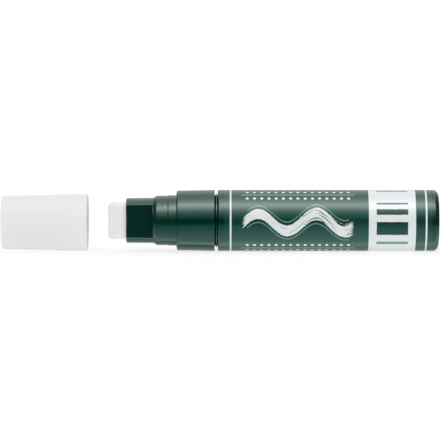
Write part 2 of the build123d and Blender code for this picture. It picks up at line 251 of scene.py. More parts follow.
# The painted shadow under the slim front is slimmer: millimetres in front of the middle, and how much
# slimmer it is
SHADOW_SHARES = ((0, 1.0), (18, 1.0), (18.6, 1.38), (26, 1.46), (28.5, 1.74))
# Millimetres to either side of the axis at which the loss begins to grow and is whole
GREENED_START = 2.0
GREENED_WHOLE = 7.0
# Millimetres to either side of the middle at which the table's ends begin to dim and are dark
TABLE_DIMS = 100.0
TABLE_DARK = 180.0

# The tent in the gloss: degrees up from the front, and the level there
TENT_LEVELS = (
    (0, 0.0), (6, 0.03), (10, 0.13), (17, 0.39), (29, 0.65), (41, 1.28), (53, 2.75), (60, 3.6),
    (66, 4.0), (80, 2.42), (95, 1.35), (113, 1.0), (136, 1.1), (160, 0.74), (180, 0.3),
)
# Degrees up from the front as far as which the loss is whole, and from which it is least
GREENED_UP_TO = 90.0
LEAST_GREENED_FROM = 150.0
# The soft box's ends: how far a direction leans along X where they begin to dim and where they are
# dimmest, and the level that is left there
BOX_DIMS = 0.25
BOX_DARK = 0.75
BOX_LEAST = 0.04
# What matt surfaces get from the tent: the level of its middle, the loss towards both ends, and a lean
# that leaves the cap's end brighter than the tail's
TENT_MIDDLE = 1.22
TENT_ENDS = -1.0
TENT_LEAN = -0.2


def linear(colour):
    """An sRGB hex value as linear red, green, blue and alpha."""
    shares = [int(colour[place:place + 2], 16) / 255 for place in (1, 3, 5)]
    levels = [share / 12.92 if share <= 0.04045 else ((share + 0.055) / 1.055) ** 2.4 for share in shares]
    return levels + [1.0]


def add(tree, kind, inputs, **settings):
    """Adds a node, or dresses one that is there. Each input is a value or the socket it is linked from.

    A Mix node's sockets go by number: 0 is its share, 2 and 3 its two values, 6 and 7 its two colours.
    """
    node = kind if isinstance(kind, bpy.types.Node) else tree.nodes.new(kind)
    for name, setting in settings.items():
        setattr(node, name, setting)
    for name, value in inputs.items():
        if isinstance(value, bpy.types.NodeSocket):
            tree.links.new(value, node.inputs[name])
        else:
            node.inputs[name].default_value = value
    return node


def new_finish(name):
    """A material with its node tree, its shader and the place on the piece in millimetres."""
    material = bpy.data.materials.new(name)
    material.use_nodes = True
    tree = material.node_tree
    place = add(tree, "ShaderNodeTexCoord", {}).outputs["Object"]
    scaled = add(tree, "ShaderNodeVectorMath", {0: place, "Scale": 1 / MM}, operation="SCALE")
    return material, tree, tree.nodes["Principled BSDF"], scaled.outputs[0]


def moulded_green_polypropylene():
    # Bottle-green polypropylene from a smooth mould: dark and glossy over a fine even grain, with a faint
    # cloud of pigment drawn out along the flow of the melt.
    material, tree, shader, place = new_finish("moulded_green_polypropylene")
    drawn = add(tree, "ShaderNodeMapping", {"Vector": place, "Scale": PIGMENT_DRAWN}).outputs[0]
    cloud = add(
        tree, "ShaderNodeTexNoise", {"Vector": drawn, "Scale": 1 / PIGMENT_CLOUD, "Detail": 3.0},
    ).outputs[0]
    grain = add(
        tree, "ShaderNodeTexNoise", {"Vector": place, "Scale": 1 / GREEN_GRAIN, "Detail": 2.0},
    ).outputs[0]
    tone = add(
        tree, "ShaderNodeMix", {0: cloud, 6: linear(DEEP_GREEN), 7: linear(BOTTLE_GREEN)}, data_type="RGBA",
    ).outputs[2]
    gloss = add(
        tree, "ShaderNodeMapRange",
        {0: cloud, "From Min": NOISE_LOW, "From Max": NOISE_HIGH, "To Min": 0.12, "To Max": 0.17},
    ).outputs[0]
    relief = add(
        tree, "ShaderNodeBump", {"Height": grain, "Strength": 0.2, "Distance": 0.02 * MM},
    ).outputs[0]
    add(
        tree, shader,
        {
            "Base Color": tone, "Roughness": gloss, "Normal": relief,
            "Specular IOR Level": GREEN_GLOSS, "Specular Tint": linear(GREEN_GLEAM),
        },
    )
    return material


def moulded_white_polypropylene():
    # White polypropylene, thin enough to glow: soft shading, faint streaks of painted light where the ribs
    # inside the cap back its wall, and a fine moulded grain.
    material, tree, shader, place = new_finish("moulded_white_polypropylene")
    spot = add(tree, "ShaderNodeSeparateXYZ", {0: place}).outputs
    up = add(tree, "ShaderNodeMath", {0: spot["Z"], 1: cap_height / MM}, operation="SUBTRACT").outputs[0]
    angle = add(tree, "ShaderNodeMath", {0: up, 1: spot["Y"]}, operation="ARCTAN2").outputs[0]
    turns = add(
        tree, "ShaderNodeMath", {0: angle, 1: CAP_RIBS, 2: RIB_PHASE}, operation="MULTIPLY_ADD",
    ).outputs[0]
    wave = add(tree, "ShaderNodeMath", {0: turns}, operation="SINE").outputs[0]
    beyond = add(
        tree, "ShaderNodeMath", {0: spot["X"], 1: RIB_MIDDLE / MM}, operation="SUBTRACT",
    ).outputs[0]
    apart = add(tree, "ShaderNodeMath", {0: beyond}, operation="ABSOLUTE").outputs[0]
    half_length = RIB_LENGTH / MM / 2
    rib_light_share = add(
        tree, "ShaderNodeMapRange",
        {
            0: apart, "From Min": half_length, "From Max": half_length + RIB_FADE / MM,
            "To Min": RIB_LIGHT_STRENGTH, "To Max": 0.0,
        },
        interpolation_type="SMOOTHSTEP",
    ).outputs[0]
    # Painted light: stripes a shade lighter where the ribs inside the cap back its wall
    painted_rib_light = add(
        tree, "ShaderNodeMath", {0: wave, 1: rib_light_share, 2: EVEN_TONE}, operation="MULTIPLY_ADD",
    ).outputs[0]
    drawn = add(tree, "ShaderNodeMapping", {"Vector": place, "Scale": STREAK_DRAWN}).outputs[0]
    streak = add(
        tree, "ShaderNodeTexNoise", {"Vector": drawn, "Scale": 1 / CAP_STREAK, "Detail": 2.0},
    ).outputs[0]
    both = add(tree, "ShaderNodeMix", {0: STREAK_SHARE, 2: painted_rib_light, 3: streak}).outputs[0]
    grain = add(
        tree, "ShaderNodeTexNoise", {"Vector": place, "Scale": 1 / PALE_GRAIN, "Detail": 2.0},
    ).outputs[0]
    tone = add(
        tree, "ShaderNodeMix", {0: both, 6: linear(CAP_SHADE), 7: linear(CAP_WHITE)}, data_type="RGBA",
    ).outputs[2]
    satin = add(
        tree, "ShaderNodeMapRange",
        {0: streak, "From Min": NOISE_LOW, "From Max": NOISE_HIGH, "To Min": 0.58, "To Max": 0.66},
    ).outputs[0]
    relief = add(
        tree, "ShaderNodeBump", {"Height": grain, "Strength": 0.12, "Distance": 0.02 * MM},
    ).outputs[0]
    add(
        tree, shader,
        {
            "Base Color": tone, "Roughness": satin, "Normal": relief, "Specular IOR Level": 0.6,
            "Subsurface Weight": 0.25, "Subsurface Radius": (1.0, 1.0, 1.0), "Subsurface Scale": 2.0 * MM,
        },
    )
    return material


def pressed_felt():
    # White polyester felt, pressed and cut: matt and soft, with short fibres that lie across each other,
    # and painted lighter towards the mouth, painted light that lifts the shade the mouth's wall casts on
    # the root.
    # Real fibres are finer than a pixel, so they are drawn about 0.15 mm thick.
    material, tree, shader, place = new_finish("pressed_felt")
    layers = []
    for turn in FIBRE_TURNS:
        laid = add(
            tree, "ShaderNodeMapping", {"Vector": place, "Rotation": turn, "Scale": FIBRE_DRAWN},
        ).outputs[0]
        layer = add(tree, "ShaderNodeTexNoise", {"Vector": laid, "Scale": 1 / FELT_FIBRE, "Detail": 3.0})
        layers.append(layer.outputs[0])
    fibres = add(tree, "ShaderNodeMath", {0: layers[0], 1: layers[1]}, operation="MAXIMUM").outputs[0]
    contrast = add(
        tree, "ShaderNodeMapRange", {0: fibres, "From Min": FIBRE_LOW, "From Max": FIBRE_HIGH},
    ).outputs[0]
    fibre_tone = add(
        tree, "ShaderNodeMix", {0: contrast, 6: linear(FELT_SHADE), 7: linear(FELT_WHITE)},
        data_type="RGBA",
    ).outputs[2]
    along = add(tree, "ShaderNodeSeparateXYZ", {0: place}).outputs["X"]
    # Painted light: the felt is painted lighter towards its root, which the mouth's wall shades
    root_light_share = add(
        tree, "ShaderNodeMapRange", {0: along, "From Min": ROOT_LIGHT_START / MM, "From Max": ROOT_LIGHT_END / MM},
    ).outputs[0]
    tone = add(
        tree, "ShaderNodeMix", {0: root_light_share, 6: fibre_tone, 7: linear(FELT_ROOT_LIGHT)}, data_type="RGBA",
    ).outputs[2]
    nap = add(tree, "ShaderNodeMapRange", {0: contrast, "To Min": 0.95, "To Max": 0.85}).outputs[0]
    relief = add(
        tree, "ShaderNodeBump", {"Height": fibres, "Strength": 0.5, "Distance": 0.08 * MM},
    ).outputs[0]
    add(
        tree, shader,
        {
            "Base Color": tone, "Roughness": nap, "Normal": relief, "Specular IOR Level": 0.3,
            "Sheen Weight": 0.1, "Sheen Roughness": 0.5,
            "Subsurface Weight": 0.15, "Subsurface Radius": (1.0, 1.0, 1.0), "Subsurface Scale": 0.3 * MM,
        },
    )
    return material


def printed_film():
    # Polypropylene film, printed and wrapped round the barrel: bottle green with an even gloss, a
    # chalk-white wavy stroke between rows of dots, a white band with strokes of several widths, and fine
    # lines at the ends.
    material, tree, shader, place = new_finish("printed_film")
    spot = add(tree, "ShaderNodeSeparateXYZ", {0: place}).outputs
    along = add(
        tree, "ShaderNodeMath", {0: spot["X"], 1: label_low.x / MM}, operation="SUBTRACT",
    ).outputs[0]
    up = add(tree, "ShaderNodeMath", {0: spot["Z"], 1: axis_height / MM}, operation="SUBTRACT").outputs[0]
    near = add(tree, "ShaderNodeMath", {0: spot["Y"], 1: -1.0}, operation="MULTIPLY").outputs[0]
    angle = add(tree, "ShaderNodeMath", {0: up, 1: near}, operation="ARCTAN2").outputs[0]
    round_way = add(
        tree, "ShaderNodeMath", {0: angle, 1: label_radius / MM}, operation="MULTIPLY",
    ).outputs[0]
    # The same face is printed several times round the marker, and the film's seam lies between two faces
    half_face = pi * label_radius / MM / PRINT_FACES
    rise = add(
        tree, "ShaderNodeMath", {0: round_way, 1: half_face, 2: -half_face}, operation="WRAP",
    ).outputs[0]
    flat = add(tree, "ShaderNodeCombineXYZ", {"X": along, "Y": rise}).outputs[0]

    # The middle line of a wavy chalk stroke, and how far a spot lies above it
    turn = 2 * pi / WAVE_LENGTH
    phase = add(
        tree, "ShaderNodeMath", {0: along, 1: turn, 2: -turn * WAVE_START}, operation="MULTIPLY_ADD",
    ).outputs[0]
    swing = add(tree, "ShaderNodeMath", {0: phase}, operation="SINE").outputs[0]
    line = add(tree, "ShaderNodeMath", {0: swing, 1: WAVE_SWING}, operation="MULTIPLY").outputs[0]
    off_line = add(tree, "ShaderNodeMath", {0: rise, 1: line}, operation="SUBTRACT").outputs[0]

    # Dry chalk: a ragged edge, streaks that follow the stroke, and pits where the board's grain shows
    ragged = add(
        tree, "ShaderNodeTexNoise", {"Vector": place, "Scale": 1 / CHALK_FRAY, "Detail": 4.0},
    ).outputs[0]
    stroke_way = add(tree, "ShaderNodeCombineXYZ", {"X": along, "Y": off_line}).outputs[0]
    drawn = add(tree, "ShaderNodeMapping", {"Vector": stroke_way, "Scale": CHALK_DRAWN}).outputs[0]
    streaks = add(
        tree, "ShaderNodeTexNoise", {"Vector": drawn, "Scale": 1 / CHALK_STREAK, "Detail": 3.0},
    ).outputs[0]
    pits = add(
        tree, "ShaderNodeTexNoise", {"Vector": place, "Scale": 1 / CHALK_PIT, "Detail": 2.0},
    ).outputs[0]

    ground = add(
        tree, "ShaderNodeMix", {0: ragged, 6: linear(LABEL_SHADE), 7: linear(LABEL_GREEN)},
        data_type="RGBA",
    ).outputs[2]
    chalk = add(
        tree, "ShaderNodeMix", {0: pits, 6: linear(CHALK_DUST), 7: linear(CHALK_WHITE)}, data_type="RGBA",
    ).outputs[2]
    inks = {"chalk": chalk, "ground": ground, "sage": linear(SAGE)}
    layers = []  # how far each is inked, and its ink

    def inside(edge, raggedness, softness):
        """How far a spot is inked, from its distance outside the edge of a mark."""
        worn = add(
            tree, "ShaderNodeMath", {0: ragged, 1: raggedness, 2: edge}, operation="MULTIPLY_ADD",
        ).outputs[0]
        limits = {"From Min": raggedness / 2 + softness, "From Max": raggedness / 2 - softness}
        return add(tree, "ShaderNodeMapRange", {0: worn, **limits}).outputs[0]

    # Straight marks
    for ink, middle, size, raggedness in PRINT_MARKS:
        offset = add(
            tree, "ShaderNodeVectorMath", {0: flat, 1: (*middle, 0.0)}, operation="SUBTRACT",
        ).outputs[0]
        apart = add(tree, "ShaderNodeVectorMath", {0: offset}, operation="ABSOLUTE").outputs[0]
        half_size = (size[0] / 2, size[1] / 2, 0.0)
        beyond = add(
            tree, "ShaderNodeVectorMath", {0: apart, 1: half_size}, operation="SUBTRACT",
        ).outputs[0]
        sides = add(tree, "ShaderNodeSeparateXYZ", {0: beyond}).outputs
        edge = add(tree, "ShaderNodeMath", {0: sides["X"], 1: sides["Y"]}, operation="MAXIMUM").outputs[0]
        layers.append((inside(edge, raggedness, INK_SOFT), inks[ink]))

    # Rows of chalk dots on both sides of the stroke
    wave_middle = (WAVE_START + WAVE_END) / 2
    from_middle = add(tree, "ShaderNodeMath", {0: along, 1: wave_middle}, operation="SUBTRACT").outputs[0]
    middle_way = add(tree, "ShaderNodeMath", {0: from_middle}, operation="ABSOLUTE").outputs[0]
    outside = add(
        tree, "ShaderNodeMath", {0: middle_way, 1: (WAVE_END - WAVE_START) / 2}, operation="SUBTRACT",
    ).outputs[0]
    dot_way = add(
        tree, "ShaderNodeMath", {0: from_middle, 1: DOT_PITCH / 2, 2: -DOT_PITCH / 2}, operation="WRAP",
    ).outputs[0]
    row_way = add(tree, "ShaderNodeMath", {0: rise}, operation="ABSOLUTE").outputs[0]
    off_row = add(tree, "ShaderNodeMath", {0: row_way, 1: DOT_ROW}, operation="SUBTRACT").outputs[0]
    from_dot = add(tree, "ShaderNodeCombineXYZ", {"X": dot_way, "Y": off_row}).outputs[0]
    dot_distance = add(tree, "ShaderNodeVectorMath", {0: from_dot}, operation="LENGTH").outputs["Value"]
    dot_reach = add(tree, "ShaderNodeMath", {0: dot_distance, 1: outside}, operation="MAXIMUM").outputs[0]
    dot_edge = add(tree, "ShaderNodeMath", {0: dot_reach, 1: DOT_SIZE / 2}, operation="SUBTRACT").outputs[0]
    layers.append((inside(dot_edge, DOT_RAGGED, INK_SOFT), inks["chalk"]))

    # A fine line that follows the wavy stroke on each side
    breadth = add(
        tree, "ShaderNodeMapRange",
        {
            0: along, "From Min": WAVE_START, "From Max": WAVE_END,
            "To Min": WAVE_THIN / 2, "To Max": WAVE_BROAD / 2,
        },
    ).outputs[0]
    aside = add(tree, "ShaderNodeMath", {0: off_line}, operation="ABSOLUTE").outputs[0]
    past = add(tree, "ShaderNodeMath", {0: aside, 1: breadth}, operation="SUBTRACT").outputs[0]
    off_echo = add(tree, "ShaderNodeMath", {0: past, 1: ECHO_GAP}, operation="SUBTRACT").outputs[0]
    echo_way = add(tree, "ShaderNodeMath", {0: off_echo}, operation="ABSOLUTE").outputs[0]
    echo_side = add(
        tree, "ShaderNodeMath", {0: echo_way, 1: ECHO_WIDTH / 2}, operation="SUBTRACT",
    ).outputs[0]
    echo_end = add(tree, "ShaderNodeMath", {0: outside, 1: ECHO_SHORT}, operation="ADD").outputs[0]
    echo_edge = add(tree, "ShaderNodeMath", {0: echo_side, 1: echo_end}, operation="MAXIMUM").outputs[0]
    layers.append((inside(echo_edge, ECHO_RAGGED, INK_SOFT), inks["sage"]))

    # The wavy stroke: frayed at its ends, drier along its way, and pitted
    frayed = add(
        tree, "ShaderNodeMath", {0: streaks, 1: WAVE_FRAY, 2: along}, operation="MULTIPLY_ADD",
    ).outputs[0]
    shares = []
    for limit, softness in ((WAVE_START, WAVE_END_SOFT), (WAVE_END, -WAVE_END_SOFT)):
        end = limit + WAVE_FRAY / 2
        limits = {"From Min": end - softness, "From Max": end + softness}
        shares.append(add(tree, "ShaderNodeMapRange", {0: frayed, **limits}).outputs[0])
    dryness = add(
        tree, "ShaderNodeMapRange",
        {0: along, "From Min": WAVE_START, "From Max": WAVE_END, "To Min": DRY_START, "To Max": DRY_END},
    ).outputs[0]
    cover = add(tree, "ShaderNodeMath", {0: streaks, 1: dryness}, operation="SUBTRACT").outputs[0]
    shares.append(
        add(tree, "ShaderNodeMapRange", {0: cover, "From Min": DRY_INNER, "From Max": DRY_OUTER}).outputs[0]
    )
    shares.append(
        add(
            tree, "ShaderNodeMapRange",
            {0: pits, "From Min": PIT_LOW, "From Max": PIT_HIGH, "To Min": PIT_INK},
        ).outputs[0]
    )
    stroke = inside(past, WAVE_RAGGED, 2 * INK_SOFT)
    for share in shares:
        stroke = add(tree, "ShaderNodeMath", {0: stroke, 1: share}, operation="MULTIPLY").outputs[0]
    layers.append((stroke, inks["chalk"]))

    tone = ground
    for share, ink in layers:
        tone = add(tree, "ShaderNodeMix", {0: share, 6: tone, 7: ink}, data_type="RGBA").outputs[2]
    gloss = add(tree, "ShaderNodeMapRange", {0: streaks, "To Min": 0.16, "To Max": 0.24}).outputs[0]
    relief = add(
        tree, "ShaderNodeBump", {"Height": ragged, "Strength": 0.12, "Distance": 0.03 * MM},
    ).outputs[0]
    add(
        tree, shader,
        {
            "Base Color": tone, "Roughness": gloss, "Normal": relief,
            "Specular IOR Level": GREEN_GLOSS, "Specular Tint": linear(GREEN_GLEAM),
        },
    )
    return material


def natural_polypropylene():
    # Unpigmented polypropylene: milky and waxy, with light seeping through it and a fine moulded grain.
    material, tree, shader, place = new_finish("natural_polypropylene")
    cloud = add(
        tree, "ShaderNodeTexNoise", {"Vector": place, "Scale": 1 / MILKY_CLOUD, "Detail": 3.0},
    ).outputs[0]
    grain = add(
        tree, "ShaderNodeTexNoise", {"Vector": place, "Scale": 1 / PALE_GRAIN, "Detail": 2.0},
    ).outputs[0]
    tone = add(
        tree, "ShaderNodeMix", {0: cloud, 6: linear(NATURAL_SHADE), 7: linear(NATURAL_PLASTIC)},
        data_type="RGBA",
    ).outputs[2]
    satin = add(tree, "ShaderNodeMapRange", {0: cloud, "To Min": 0.32, "To Max": 0.46}).outputs[0]
    relief = add(
        tree, "ShaderNodeBump", {"Height": grain, "Strength": 0.12, "Distance": 0.02 * MM},
    ).outputs[0]
    add(
        tree, shader,
        {
            "Base Color": tone, "Roughness": satin, "Normal": relief,
            "Subsurface Weight": 0.5, "Subsurface Radius": (1.0, 0.95, 0.85), "Subsurface Scale": 1.5 * MM,
        },
    )
    return material


def black_rubber():
    # Moulded seal rubber: matt black with a grey bloom.
    material, tree, shader, place = new_finish("black_rubber")
    bloom = add(
        tree, "ShaderNodeTexNoise", {"Vector": place, "Scale": 1 / SEAL_BLOOM, "Detail": 4.0},
    ).outputs[0]
    tone = add(
        tree, "ShaderNodeMix", {0: bloom, 6: linear(RUBBER_BLACK), 7: linear(RUBBER_BLOOM)},
        data_type="RGBA",
    ).outputs[2]
    matt = add(tree, "ShaderNodeMapRange", {0: bloom, "To Min": 0.6, "To Max": 0.8}).outputs[0]
    relief = add(
        tree, "ShaderNodeBump", {"Height": bloom, "Strength": 0.2, "Distance": 0.03 * MM},
    ).outputs[0]
    add(tree, shader, {"Base Color": tone, "Roughness": matt, "Normal": relief})
    return material


def stainless_steel(name, drawn, smooth, rough):
    # Bright stainless steel with fine marks: drawn out one way on the wire, and the same all ways on a
    # tumbled ball.
    material, tree, shader, place = new_finish(name)
    stretched = add(tree, "ShaderNodeMapping", {"Vector": place, "Scale": drawn}).outputs[0]
    marks = add(
        tree, "ShaderNodeTexNoise", {"Vector": stretched, "Scale": 1 / STEEL_MARK, "Detail": 3.0},
    ).outputs[0]
    tone = add(
        tree, "ShaderNodeMix", {0: marks, 6: linear(STEEL_SHADE), 7: linear(STEEL)}, data_type="RGBA",
    ).outputs[2]
    polish = add(tree, "ShaderNodeMapRange", {0: marks, "To Min": smooth, "To Max": rough}).outputs[0]
    relief = add(
        tree, "ShaderNodeBump", {"Height": marks, "Strength": 0.1, "Distance": 0.01 * MM},
    ).outputs[0]
    add(tree, shader, {"Base Color": tone, "Roughness": polish, "Normal": relief, "Metallic": 1.0})
    return material


def start_piece(name, add_primitive, **size):
    """Adds a primitive, applies its size and place, and opens it in edit mode with nothing selected."""
    bpy.ops.object.select_all(action="DESELECT")
    add_primitive(**size)
    piece = bpy.context.object
    piece.name = piece.data.name = name
    bpy.ops.object.transform_apply(location=True, rotation=True, scale=True)
    bpy.ops.object.mode_set(mode="EDIT")
    bpy.ops.mesh.select_all(action="DESELECT")
    return piece


def pick(piece, kind, test):
    """In edit mode, selects only the points, edges or faces that pass the test."""
    bpy.ops.mesh.select_mode(type=kind)
    bpy.ops.mesh.select_all(action="DESELECT")
    mesh = bmesh.from_edit_mesh(piece.data)
    for part in {"VERT": mesh.verts, "EDGE": mesh.edges, "FACE": mesh.faces}[kind]:
        if test(part):
            part.select_set(True)
    bmesh.update_edit_mesh(piece.data)


def apply_modifier(piece, kind, **settings):
    """Adds a modifier with its settings and applies it."""
    modifier = piece.modifiers.new(kind.lower(), kind)
    for name, setting in settings.items():
        setattr(modifier, name, setting)
    bpy.ops.object.modifier_apply(modifier=modifier.name)


def close_piece():
    """Merges doubles, turns the faces outwards and leaves edit mode."""
    bpy.ops.mesh.select_all(action="SELECT")
    bpy.ops.mesh.remove_doubles(threshold=MERGE)
    bpy.ops.mesh.normals_make_consistent(inside=False)
    bpy.ops.object.mode_set(mode="OBJECT")


def finish_piece(piece, finish, body, node):
    """Smooths a piece, gives it its finish, and lets it stand for a node of its body."""
    bpy.ops.object.shade_smooth_by_angle(angle=SMOOTH_ANGLE)
    piece.data.materials.append(finish)
    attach(piece, body)
    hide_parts(node)


def wrap_label():
    """The printed film: a thin sleeve with an open seam on the far side."""
    sleeve = start_piece(
        "label_sleeve", bpy.ops.mesh.primitive_cylinder_add,
        vertices=FILM_SIDES, radius=label_radius, depth=label_length, end_fill_type="NOTHING",
        location=((label_low.x + label_high.x) / 2, 0, axis_height), rotation=(0, pi / 2, 0),
    )
    half_side = label_radius * pi / FILM_SIDES
    pick(
        sleeve, "FACE",
        lambda face: face.calc_center_median().y > 0
        and abs(face.calc_center_median().z - axis_height) < half_side,
    )
    bpy.ops.mesh.delete(type="FACE")
    close_piece()
    apply_modifier(sleeve, "SOLIDIFY", thickness=FILM_THICKNESS, offset=-1.0)
    finish_piece(sleeve, film, "marker", "label")


def press_nib():
    """The felt block: slanted and rounded, then roughened by the tufts of its fibres."""
    # The block starts longer by what the rounding of its slanted tip takes off
    nib_width = nib_high.y - nib_low.y
    sharpness = (hypot(NIB_SLANT, nib_width) + NIB_SLANT) / nib_width - 1
    low = nib_low - Vector((TIP_ROUND * sharpness, 0, 0))
    middle = (low + nib_high) / 2
    block = start_piece(
        "nib_block", bpy.ops.mesh.primitive_cube_add, size=1.0, location=middle, scale=nib_high - low,
    )
    pick(block, "VERT", lambda point: point.co.x < middle.x and point.co.y > middle.y)
    bpy.ops.transform.translate(value=(NIB_SLANT, 0, 0))
    # The long edges reach further along X than the slanted ones
    pick(block, "EDGE", lambda edge: abs(edge.verts[0].co.x - edge.verts[1].co.x) > NIB_SLANT * 2)
    bpy.ops.mesh.bevel(offset=NIB_CORNER, segments=NIB_CORNER_STEPS, affect="EDGES")
    block.data.update()
    pick(block, "FACE", lambda face: face.normal.x < TIP_FACING)
    bpy.ops.mesh.bevel(offset=TIP_ROUND, segments=TIP_STEPS, affect="EDGES")
    close_piece()
    apply_modifier(block, "REMESH", mode="VOXEL", voxel_size=FELT_VOXEL)
    tufts = bpy.data.textures.new("felt_tufts", "CLOUDS")
    tufts.noise_scale = FELT_TUFT
    tufts.noise_depth = FELT_TUFT_LAYERS
    apply_modifier(
        block, "DISPLACE", texture=tufts, texture_coords="LOCAL", strength=FELT_DEPTH, mid_level=1.0,
    )
    finish_piece(block, felt, "nib", "nib")


def wind_coil():
    """The valve's spring: a wire section turned about the marker's axis and moved along it."""
    bpy.ops.object.select_all(action="DESELECT")
    bpy.ops.mesh.primitive_circle_add(vertices=WIRE_SIDES, radius=WIRE / 2, location=(0, 0, axis_height))
    coil = bpy.context.object
    coil.name = coil.data.name = "valve_coil"
    bpy.ops.object.mode_set(mode="EDIT")
    bpy.ops.mesh.select_all(action="SELECT")
    bpy.ops.transform.translate(value=(coil_low.x + WIRE / 2, coil_radius - WIRE / 2, 0))
    bpy.ops.object.mode_set(mode="OBJECT")
    apply_modifier(
        coil, "SCREW", axis="X", angle=2 * pi, iterations=COIL_TURNS,
        steps=COIL_STEPS, render_steps=COIL_STEPS, screw_offset=(coil_length - WIRE) / COIL_TURNS,
    )
    bpy.ops.object.transform_apply(location=True, rotation=True, scale=True)
    bpy.ops.object.mode_set(mode="EDIT")
    bpy.ops.mesh.select_all(action="SELECT")
    bpy.ops.mesh.fill_holes(sides=0)
    close_piece()
    finish_piece(coil, wire_steel, "marker", "valve_spring")
    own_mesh(coil)


def turn_cap():
    """The cap's shell, drawn out ring by ring from the gate's dimple, round the rim and down the bore."""
    skirt_radius = cap_radius - CAP_SKIRT_DRAFT
    body_radius = skirt_radius - CAP_STEP
    end_radius = body_radius - CAP_DRAFT
    bore = cap_radius - CAP_WALL
    step_back = cap_high.x - CAP_SKIRT
    step_front = step_back - CAP_STEP_LENGTH
    snap_back = cap_high.x - SNAP_SETBACK
    snap_front = snap_back - SNAP_WIDTH
    inner_end = cap_low.x + CAP_END_WALL
    # Each ring: its place along X, its radius, and the rounding and segments of its edge
    rings = (
        (cap_low.x + GATE_DEPTH, GATE_FLOOR_RADIUS, GATE_ROUND, 2),
        (cap_low.x, GATE_RADIUS, GATE_ROUND, 2),
        (cap_low.x, end_radius, CAP_END_ROUND, 6),
        (step_front, body_radius, CAP_STEP_ROUND, 3),
        (step_back, skirt_radius, CAP_STEP_ROUND, 3),
        (cap_high.x, cap_radius, CAP_RIM_ROUND, 4),
        (cap_high.x, bore, CAP_RIM_ROUND, 4),
        (snap_back, bore, 0, 0),
        (snap_back - SNAP_SLOPE, bore - SNAP_HEIGHT, 0, 0),
        (snap_front + SNAP_SLOPE, bore - SNAP_HEIGHT, 0, 0),
        (snap_front, bore, 0, 0),
        (step_back, bore, 0, 0),
        (step_front, body_radius - CAP_BODY_WALL, 0, 0),
        (inner_end, end_radius - CAP_BODY_WALL, CAP_INNER_ROUND, 3),
    )
    station, radius = rings[0][:2]
    shell = start_piece(
        "cap_shell", bpy.ops.mesh.primitive_circle_add,
        vertices=CAP_SIDES, radius=radius, fill_type="NGON",
        location=(station, 0, cap_height), rotation=(0, pi / 2, 0),
    )
    bpy.ops.mesh.select_mode(type="FACE")
    bpy.ops.mesh.select_all(action="SELECT")
    for next_station, next_radius, *_ in rings[1:]:
        bpy.ops.mesh.extrude_region_move(TRANSFORM_OT_translate={"value": (next_station - station, 0, 0)})
        share = next_radius / radius
        bpy.ops.transform.resize(value=(1, share, share), center_override=(next_station, 0, cap_height))
        station, radius = next_station, next_radius
    for station, radius, rounding, segments in rings:
        if rounding:
            pick(
                shell, "EDGE",
                lambda edge: all(
                    abs(point.co.x - station) < MERGE
                    and abs(hypot(point.co.y, point.co.z - cap_height) - radius) < MERGE
                    for point in edge.verts
                ),
            )
            bpy.ops.mesh.bevel(offset=rounding, segments=segments, affect="EDGES")
    close_piece()
    finish_piece(shell, white, "cap", "cap")


def set_camera():
    """Level with the marker's side and a little above it, far enough away for an almost flat view."""
    aim = Vector((0, 0, axis_height + AIM_RAISE))
    back = Vector((0, -cos(VIEW_ELEVATION), sin(VIEW_ELEVATION)))
    turn = (-back).to_track_quat("-Z", "Y").to_euler()
    bpy.ops.object.camera_add(location=aim + back * VIEW_DISTANCE, rotation=turn)
    camera = bpy.context.object
    camera.data.sensor_width = SENSOR
    camera.data.lens = SENSOR * VIEW_DISTANCE / FRAME_WIDTH
    camera.data.clip_end = VIEW_END
    bpy.context.scene.camera = camera


def level_profile(tree, place, levels):
    """A smooth run of levels over a table of places, the first of which is 0."""
    reach = levels[-1][0]
    peak = max(level for _, level in levels)
    share = add(tree, "ShaderNodeMath", {0: place, 1: reach}, operation="DIVIDE").outputs[0]
    ramp = add(tree, "ShaderNodeValToRGB", {0: share})
    stops = ramp.color_ramp.elements
    ramp.color_ramp.interpolation = "EASE"
    stops.remove(stops[1])
    for station, level in levels:
        stop = stops.new(station / reach) if station else stops[0]
        stop.color = [level / peak] * 3 + [1.0]
    return add(tree, "ShaderNodeMath", {0: ramp.outputs[0], 1: peak}, operation="MULTIPLY").outputs[0]


def room_gloss(tree, level, share, fade):
    """What the gloss shows of the room: a level of white, less a share of the green loss, faded."""
    loss = add(tree, "ShaderNodeVectorMath", {0: GREEN_LOSS, "Scale": share}, operation="SCALE").outputs[0]
    tinted = add(
        tree, "ShaderNodeVectorMath", {0: level, 1: GLOSS_SHARES, 2: loss}, operation="MULTIPLY_ADD",
    ).outputs[0]
    seen = add(
        tree, "ShaderNodeVectorMath", {0: tinted, 1: (0.0, 0.0, 0.0)}, operation="MAXIMUM",
    ).outputs[0]
    return add(tree, "ShaderNodeVectorMath", {0: seen, "Scale": fade}, operation="SCALE").outputs[0]


